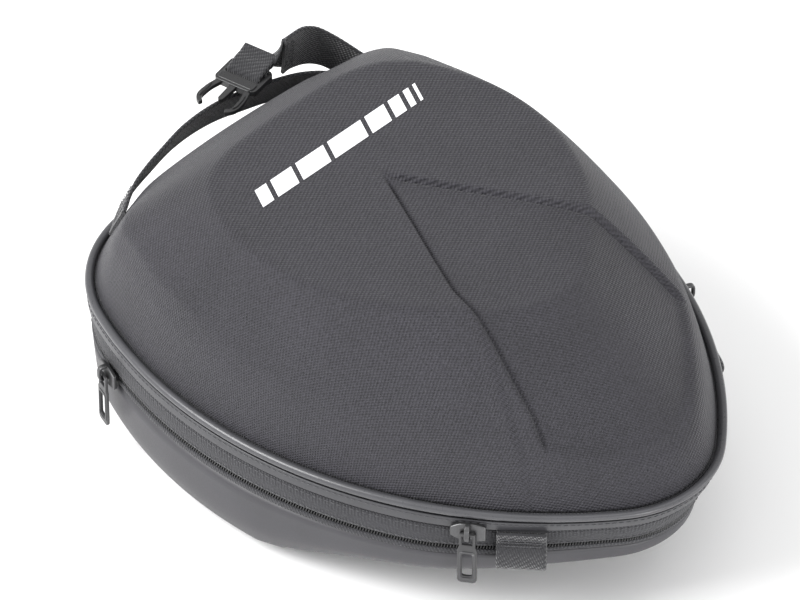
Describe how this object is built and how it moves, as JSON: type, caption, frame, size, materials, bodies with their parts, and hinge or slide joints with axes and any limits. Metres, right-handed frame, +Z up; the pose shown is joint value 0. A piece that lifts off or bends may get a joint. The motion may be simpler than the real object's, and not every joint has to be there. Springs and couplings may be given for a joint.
{
  "type": "tank bag",
  "caption": "Moulded hard-shell motorcycle tank bag with zipped hinged lid, zipped expansion gusset, carry handle and buckle strap.",
  "frame": {"origin": "on the flat underside pad, under the middle of the case", "axes": "+Z up, +Y towards the wide front end with the handle, +X to the right seen from the tail"},
  "size_m": [0.2674, 0.3592, 0.1623],
  "materials": {
    "base_shell": "matt fine-weave fabric over moulded foam",
    "lid_shell": "matt fine-weave fabric over moulded foam",
    "lower_zip_tape": "matt woven fabric",
    "gusset_band": "matt woven fabric",
    "gusset_skirt": "matt woven fabric",
    "webbing_tab_left": "matt woven fabric",
    "webbing_tab_right": "matt woven fabric",
    "lid_band": "matt woven fabric",
    "lid_piping": "smooth coated piping",
    "zip_flap": "smooth coated fabric",
    "hinge_strip": "matt woven fabric",
    "print_mark": "pale reflective print",
    "lid_pocket_mesh": "matt woven fabric",
    "lid_pocket_binding": "matt woven fabric",
    "carry_handle": "matt woven fabric",
    "front_strap": "matt woven fabric",
    "strap_tail": "matt woven fabric",
    "underside_pad": "matt non-slip rubber",
    "bottom_board": "matt moulded plastic",
    "lower_zip_coil": "matt moulded plastic",
    "main_zip_coil_lower": "matt moulded plastic",
    "main_zip_coil_upper": "matt moulded plastic",
    "buckle_body": "matt moulded plastic",
    "buckle_guide": "matt moulded plastic",
    "buckle_arm_left": "matt moulded plastic",
    "buckle_arm_right": "matt moulded plastic",
    "slider_a": "satin coated metal",
    "slider_b": "satin coated metal",
    "slider_c": "satin coated metal",
    "puller_a": "satin coated metal",
    "puller_b": "satin coated metal",
    "puller_c": "satin coated metal"
  },
  "bodies": {
    "base": {"base_shell": "base_shell", "underside_pad": "underside_pad", "bottom_board": "bottom_board", "lower_zip_tape": "lower_zip_tape", "lower_zip_coil": "lower_zip_coil"},
    "expansion_ring": {"gusset_band": "gusset_band", "gusset_skirt": "gusset_skirt", "main_zip_coil_lower": "main_zip_coil_lower", "webbing_tab_left": "webbing_tab_left", "webbing_tab_right": "webbing_tab_right"},
    "lid": {"lid_shell": "lid_shell", "lid_band": "lid_band", "lid_piping": "lid_piping", "zip_flap": "zip_flap", "main_zip_coil_upper": "main_zip_coil_upper", "hinge_strip": "hinge_strip", "print_mark": "print_mark", "lid_pocket_mesh": "lid_pocket_mesh", "lid_pocket_binding": "lid_pocket_binding", "carry_handle": "carry_handle"},
    "strap": {"front_strap": "front_strap", "strap_tail": "strap_tail", "buckle_body": "buckle_body", "buckle_guide": "buckle_guide"},
    "buckle_arm_left": {"buckle_arm_left": "buckle_arm_left"},
    "buckle_arm_right": {"buckle_arm_right": "buckle_arm_right"},
    "slider_a": {"slider_a": "slider_a"},
    "puller_a": {"puller_a": "puller_a"},
    "slider_b": {"slider_b": "slider_b"},
    "puller_b": {"puller_b": "puller_b"},
    "slider_c": {"slider_c": "slider_c"},
    "puller_c": {"puller_c": "puller_c"}
  },
  "joints": [
    {"name": "gusset_expansion", "type": "slide", "parent": "base", "child": "expansion_ring", "axis": [0, 0, 1], "range_m": [0, 0.028]},
    {"name": "lid_hinge", "type": "hinge", "parent": "expansion_ring", "child": "lid", "pos_m": [0, 0.1493, 0.071], "axis": [-1, 0, 0], "range_deg": [0, 95]},
    {"name": "strap_swing", "type": "hinge", "parent": "lid", "child": "strap", "pos_m": [0.1, 0.11041, 0.10345], "axis": [0, 0.4384, -0.8988], "range_deg": [0, 60]},
    {"name": "buckle_squeeze_left", "type": "hinge", "parent": "strap", "child": "buckle_arm_left", "pos_m": [0.02125, 0.12839, 0.13], "axis": [0, 0, -1], "range_deg": [0, 7], "stiffness_Nm_per_rad": 0.06},
    {"name": "buckle_squeeze_right", "type": "hinge", "parent": "strap", "child": "buckle_arm_right", "pos_m": [0.01792, 0.14567, 0.13], "axis": [0, 0, 1], "range_deg": [0, 7], "stiffness_Nm_per_rad": 0.06},
    {"name": "slider_a_travel", "type": "hinge", "parent": "base", "child": "slider_a", "pos_m": [0.1191, 0.0056, 0.054], "axis": [0, 0, 1], "range_deg": [0, 24]},
    {"name": "puller_a_swing", "type": "hinge", "parent": "slider_a", "child": "puller_a", "pos_m": [-0.12324, 0.08904, 0.0538], "axis": [0.3256, 0.9455, 0], "range_deg": [0, 85]},
    {"name": "slider_b_travel", "type": "hinge", "parent": "expansion_ring", "child": "slider_b", "pos_m": [0.1191, 0.0056, 0.071], "axis": [0, 0, -1], "range_deg": [0, 21]},
    {"name": "puller_b_swing", "type": "hinge", "parent": "slider_b", "child": "puller_b", "pos_m": [-0.09288, -0.13846, 0.0708], "axis": [-0.5621, 0.8271, 0], "range_deg": [0, 85]},
    {"name": "slider_c_travel", "type": "hinge", "parent": "expansion_ring", "child": "slider_c", "pos_m": [-0.1191, 0.0056, 0.071], "axis": [0, 0, 1], "range_deg": [0, 40]},
    {"name": "puller_c_swing", "type": "hinge", "parent": "slider_c", "child": "puller_c", "pos_m": [0.11594, -0.0966, 0.0708], "axis": [-0.3987, -0.9171, 0], "range_deg": [0, 85]}
  ],
  "couplings": [
    {"joint": "buckle_squeeze_right", "follows": "buckle_squeeze_left", "ratio": 1}
  ]
}
